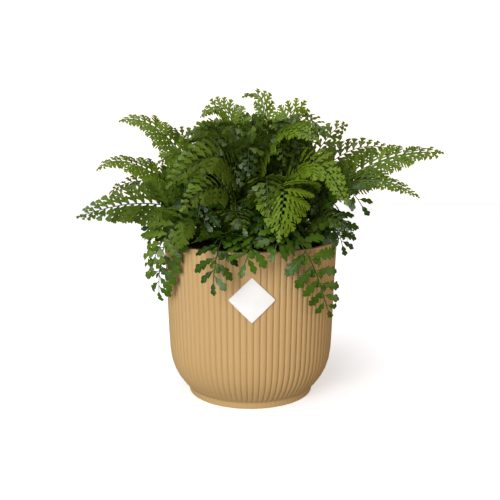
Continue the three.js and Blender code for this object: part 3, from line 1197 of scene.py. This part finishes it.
    def add_scales(self, mesh: Mesh, points: Sequence[Vector], draw: random.Random) -> None:
        """Sets narrow brown scales on the foot of the stem.

        Args:
            mesh: The mesh that they go into.
            points: The rib's even steps.
            draw: The seeded draw.
        """
        tuft = new_foliage_mesh()
        thick, thin = self.scale_radii
        shape = {"segments": 3, "radius1": thick, "radius2": thin, "depth": self.scale_length}
        for _ in range(self.scales):
            place = self.station(points, draw.uniform(*self.scale_reach))
            angle = draw.uniform(0, 2 * math.pi)
            outward = place.side * math.cos(angle) + place.normal * math.sin(angle)
            way = (place.forward + outward * draw.uniform(*self.scale_spread)).normalized()
            scale = bmesh.ops.create_cone(tuft, cap_ends=True, **shape)["verts"]
            bmesh.ops.rotate(tuft, matrix=way.to_track_quat("Z", "Y").to_matrix(), verts=scale)
            bmesh.ops.translate(tuft, vec=place.point + outward * 0.7 + way, verts=scale)
        for face in tuft.faces:
            face.material_index = 1
        poured(mesh, tuft)

    def grown(self) -> Mesh:
        """Grows the whole frond.

        Returns:
            Its mesh, with the leaflets' faces first and the stem's as the second material.
        """
        draw = random.Random(self.name)
        mesh = new_foliage_mesh()
        points = self.points()
        self.add_blade(mesh, points, draw)
        self.add_rib(mesh, points)
        self.add_scales(mesh, points, draw)
        return mesh


BROAD, CUT, FINE = Habit.BROAD, Habit.CUT, Habit.FINE

# Each frond's tone is partly its age and partly painted light and shade: lighter where the plant is lit and
# darker where it is shaded.
FRONDS = (
    Frond("left_long", CUT, (-15, -6), (-57, -26, 154), (-124, -50, 151), -48, 21, 0.65, crowd=1.35),
    Frond("left_front_drooping", BROAD, (-18, -11), (-55, -43, 141), (-70, -42, 91), -20, 20, 0.75, crowd=1.3),
    Frond("left_front_broad", CUT, (-13, -13), (-45, -50, 149), (-74, -64, 112), -20, 23, 0.75),
    Frond("left_front_low", BROAD, (-21, -2), (-58, -8, 141), (-78, -22, 131), -50, 16, 0.3),
    Frond("left_middle", CUT, (-17, 4), (-68, 10, 166), (-115, 14, 163), -40, 15, 0.3),
    Frond("left_hooked", FINE, (-12, -2), (-78, -3, 179), (-118, -14, 184), -32, 17, 0.7, crowd=1.25),
    Frond("left_high", FINE, (-9, 1), (-58, 4, 198), (-102, 8, 221), -34, 20, 0.7, crowd=1.25),
    Frond("left_high_back", CUT, (-9, 6), (-41, 26, 194), (-76, 36, 208), -50, 16, 0.55),
    Frond("left_back", CUT, (-13, 9), (-45, 31, 170), (-82, 62, 172), -50, 16, 0.25),
    Frond("left_top", CUT, (-4, 1), (-17, -11, 201), (-43, -32, 209), -45, 18, 0.7, crowd=1.25),
    Frond("upper_left", CUT, (-8, -4), (-34, -18, 184), (-68, -34, 190), -45, 19, 0.65, crowd=1.25),
    Frond("front_left_high", CUT, (-4, -8), (-16, -42, 188), (-56, -72, 177), -45, 22, 0.8, crowd=1.25),
    Frond("front_left", CUT, (-7, -12), (-16, -50, 169), (-45, -86, 162), -40, 20, 0.75, crowd=1.25),
    Frond("front_left_inner", CUT, (-6, -17), (-13, -55, 153), (-5, -86, 146), 0, 18, 0.45),
    Frond("front_left_short", BROAD, (-9, -23), (-19, -63, 138), (-26, -87, 108), 0, 20, 0.3, crowd=1.15),
    Frond("front_short", BROAD, (-1, -22), (5, -58, 140), (-4, -88, 122), 0, 22, 0.6, crowd=1.15),
    Frond("front_right_short", BROAD, (4, -22), (23, -52, 147), (17, -84, 132), 0, 22, 0.65),
    Frond("front_middle", CUT, (0, -12), (9, -45, 176), (12, -80, 158), 0, 19, 0.45),
    Frond("front_bright", FINE, (6, -15), (22, -52, 173), (20, -82, 144), 10, 31, 1.0, splay=55.0, crowd=1.8),
    Frond(
        "front_right_drooping", BROAD, (11, -20), (31, -67, 137), (58, -57, 80), 15, 19, 0.7,
        bare=0.32, crowd=1.1,
    ),
    Frond("upper_front", FINE, (3, -6), (15, -34, 200), (47, -60, 206), 40, 16, 0.75, crowd=1.25),
    Frond("centre_right", FINE, (9, -10), (36, -41, 187), (67, -70, 163), 40, 18, 0.85),
    Frond("right_inner", CUT, (13, -16), (48, -46, 148), (73, -62, 140), 30, 14, 0.3),
    Frond("right_broad", BROAD, (21, -7), (53, -20, 148), (71, -30, 125), 40, 19, 0.3, bare=0.42, crowd=1.4),
    Frond("right_smooth", BROAD, (16, -9), (56, -30, 167), (83, -46, 157), 40, 19, 0.25),
    Frond("right_low", FINE, (18, -2), (72, -12, 171), (128, -26, 163), 32, 15, 0.5),
    Frond("right_long", FINE, (14, 2), (82, 4, 178), (152, 6, 195), 34, 22, 0.6),
    Frond("right_middle", CUT, (11, 5), (68, 28, 186), (124, 38, 195), 42, 18, 0.7),
    Frond("right_upright", CUT, (8, -1), (52, 4, 194), (77, 14, 216), 50, 21, 0.75),
    Frond("top_left", FINE, (-4, 6), (-14, 25, 215), (-40, 38, 226), -60, 21, 0.7, crowd=1.25),
    Frond("top", FINE, (3, 10), (13, 30, 219), (-3, 42, 241), 0, 20, 0.7),
    Frond("top_right", FINE, (6, 4), (28, 14, 217), (50, 26, 222), 50, 20, 0.75),
    Frond("top_front_right", CUT, (5, -2), (29, -14, 208), (56, -36, 210), 30, 17, 0.75),
    Frond("back_right_high", CUT, (9, 10), (36, 42, 203), (76, 74, 204), 30, 18, 0.4),
    Frond("back_right", CUT, (14, 9), (58, 38, 172), (106, 66, 168), 30, 18, 0.4),
    Frond("back_right_low", BROAD, (20, 12), (54, 32, 146), (84, 52, 124), 30, 18, 0.4),
    Frond("back_middle_right", CUT, (7, 17), (26, 66, 178), (48, 114, 172), 0, 19, 0.4),
    Frond("back_high", CUT, (-5, 13), (-3, 51, 204), (2, 92, 212), 0, 16, 0.4),
    Frond("back_left_high", CUT, (-10, 9), (-34, 45, 199), (-60, 78, 206), -20, 16, 0.4),
    Frond("back_middle", CUT, (-2, 19), (-6, 74, 164), (-8, 122, 152), 0, 18, 0.4),
    Frond("back_low", BROAD, (5, 24), (18, 62, 140), (28, 90, 112), 0, 18, 0.4),
    Frond("back_middle_left", CUT, (-8, 15), (-30, 58, 180), (-58, 104, 174), 0, 19, 0.4),
    Frond("back_low_left", BROAD, (-12, 21), (-32, 56, 144), (-50, 84, 122), 0, 17, 0.4),
    Frond("back_left_low", BROAD, (-20, 9), (-58, 26, 146), (-88, 40, 128), -30, 18, 0.4),
)


@dataclass
class InnerCrown:
    """The short shaded fronds in the middle of the plant, which stand round it by the golden angle, in
    near-black tones that are painted shade.

    A pair of values goes from the lowest frond to the highest, and a spread is how far one frond may be from
    it.
    """

    count: int = 54
    pieces: int = 6
    broad_share: float = 0.36
    reach: Pair = (76.0, 42.0)
    reach_spread: Pair = (0.85, 1.08)
    tip_height: Pair = (128.0, 203.0)
    height_spread: float = 5.0
    lift: Pair = (20.0, 12.0)
    foot_radius: Pair = (22.0, 5.0)
    over_share: float = 0.6
    leaf: Pair = (21.0, 16.0)
    painted_shade_tones: Pair = (0.0, 0.1)
    top_tone: float = 0.5
    bare: Pair = (0.25, 0.45)
    golden_angle: float = 137.508
    angle_spread: float = 8.0
    seed: int = 5

    def fronds(self) -> list[Frond]:
        """Draws the fronds.

        Returns:
            The fronds, from the lowest to the highest.
        """
        draw = random.Random(self.seed)
        drawn = []
        for number in range(self.count):
            share = number / (self.count - 1)
            turn = draw.uniform(-self.angle_spread, self.angle_spread)
            angle = math.radians(number * self.golden_angle + turn)
            x, y = math.cos(angle), math.sin(angle)
            reach = between(*self.reach, share) * draw.uniform(*self.reach_spread)
            foot = between(*self.foot_radius, share)
            high = between(*self.tip_height, share) + draw.uniform(-self.height_spread, self.height_spread)
            middle = between(foot, reach, self.over_share)
            frond = Frond(
                name=f"inner_{number}",
                habit=Habit.BROAD if share < self.broad_share else Habit.CUT,
                foot=(foot * x, foot * y),
                over=(middle * x, middle * y, high + between(*self.lift, share)),
                tip=(reach * x, reach * y, high),
                roll=0.0,
                leaf=between(*self.leaf, share),
                # Painted shade: the lower fronds get a near-black tone, and only the highest grow lighter.
                tone=draw.uniform(*self.painted_shade_tones) + self.top_tone * share**4,
                bare=between(*self.bare, share),
            )
            drawn.append(frond)
        return drawn

    def build(self, tissues: dict[Habit, Material], stem: Material) -> None:
        """Builds and dresses the fronds, a few to a piece.

        Args:
            tissues: The leaflets' materials.
            stem: The stems' material.
        """
        fronds = self.fronds()
        size = math.ceil(len(fronds) / self.pieces)
        for number in range(self.pieces):
            mesh = new_foliage_mesh()
            group = fronds[number * size : (number + 1) * size]
            for frond in group:
                poured(mesh, frond.grown())
            habit = group[0].habit
            finished(f"inner_fronds_{number + 1}", mesh, [tissues[habit], stem])


@dataclass
class Fern:
    """The whole plant, frond by frond."""

    fronds: tuple[Frond, ...] = FRONDS
    inner: InnerCrown = field(default_factory=InnerCrown)
    stem: StemTissue = field(default_factory=StemTissue)

    def build(self) -> None:
        """Builds and dresses every frond."""
        stem = self.stem.material()
        tissues = {habit: cut.tissue.material() for habit, cut in CUTS.items()}
        for frond in self.fronds:
            materials = [tissues[frond.habit], stem]
            nodes = [f"frond_{frond.name}"]
            finished(f"fern_{frond.name}", frond.grown(), materials, nodes)
        self.inner.build(tissues, stem)


# Studio


@dataclass(frozen=True)
class Softbox:
    """A square light that faces the plant, with its place and its side in metres and its power in watts."""

    name: str
    place: Triple
    side: float
    power: float
    colour: Triple = (0.98, 1.0, 1.03)
    aim: Triple = (0.0, 0.0, 0.13)

    def hang(self) -> None:
        """Hangs it in the studio."""
        data = bpy.data.lights.new(self.name, "AREA")
        data.energy, data.size, data.color = self.power, self.side, self.colour
        light = placed(self.name, data)
        light.location = self.place
        light.rotation_euler = (Vector(self.aim) - Vector(self.place)).to_track_quat("-Z", "Y").to_euler()


@dataclass
class Studio:
    """White paper, soft light from the upper left and a camera at the photograph's viewing angle.

    The room's light is weaker in reflections, and the backdrop is brighter than it.
    """

    camera_place: Triple = (-0.4, -562.6, 215.0)
    camera_pitch: float = 9.96
    lens: float = 50.3
    sensor: float = 36.0
    paper: StudioPaper = field(default_factory=StudioPaper)
    paper_half_side: float = 1.5
    room_colour: tuple[float, ...] = (1.0, 0.9, 0.79, 1.0)
    room_light: float = 0.31
    reflected_light: float = 0.08
    backdrop_light: float = 1.3
    softboxes: tuple[Softbox, ...] = (
        Softbox("key_softbox", (-0.6, -1.2, 0.48), 0.8, 17.6),
        Softbox("top_softbox", (-0.2, -0.2, 1.4), 0.7, 6.2),
        Softbox("warm_card", (0.95, -0.35, 0.15), 0.5, 2.2, (1.0, 0.8, 0.58)),
    )

    def add_floor(self) -> None:
        """Lays the paper."""
        mesh = bmesh.new()
        bmesh.ops.create_grid(mesh, x_segments=8, y_segments=8, size=self.paper_half_side)
        data = bpy.data.meshes.new("floor")
        mesh.to_mesh(data)
        mesh.free()
        data.materials.append(self.paper.material())
        floor = placed("floor", data)
        floor.visible_diffuse = False
        floor.visible_glossy = False

    def add_world(self) -> None:
        """Sets the soft light from all round, against a white background."""
        world = bpy.data.worlds.new("studio")
        world.use_nodes = True
        tree = world.node_tree
        tree.nodes.clear()
        path = add_node(tree, "LightPath")
        strength = self.room_light
        for ray, level in (("Is Glossy Ray", self.reflected_light), ("Is Camera Ray", self.backdrop_light)):
            ends = {"Value": path.outputs[ray], "To Min": strength, "To Max": level}
            strength = add_node(tree, "MapRange", ends).outputs[0]
        light = add_node(tree, "Background", {"Color": self.room_colour, "Strength": strength})
        add_node(tree, "OutputWorld", {"Surface": light.outputs[0]})
        bpy.context.scene.world = world

    def add_camera(self) -> None:
        """Stands the camera where the photograph was taken from."""
        data = bpy.data.cameras.new("camera")
        data.lens, data.sensor_width = self.lens, self.sensor
        camera = placed("camera", data)
        camera.location = Vector(self.camera_place) * MM
        camera.rotation_euler = (math.radians(90 - self.camera_pitch), 0.0, 0.0)
        bpy.context.scene.camera = camera

    def build(self) -> None:
        """Sets up the studio."""
        self.add_floor()
        self.add_world()
        for softbox in self.softboxes:
            softbox.hang()
        self.add_camera()
        bpy.context.scene.view_settings.view_transform = "Standard"
        log.info("studio: floor, world, %d lights and camera", len(self.softboxes))


def main() -> None:
    """Builds the pot, its label, the soil, the fern and the studio."""
    logging.basicConfig(level=logging.INFO, format="%(name)s: %(message)s")
    pot = RibbedPot()
    pot.build()
    BlankLabel(pot).build()
    SoilBed().build()
    Fern().build()
    Studio().build()


if __name__ == "__main__":
    main()
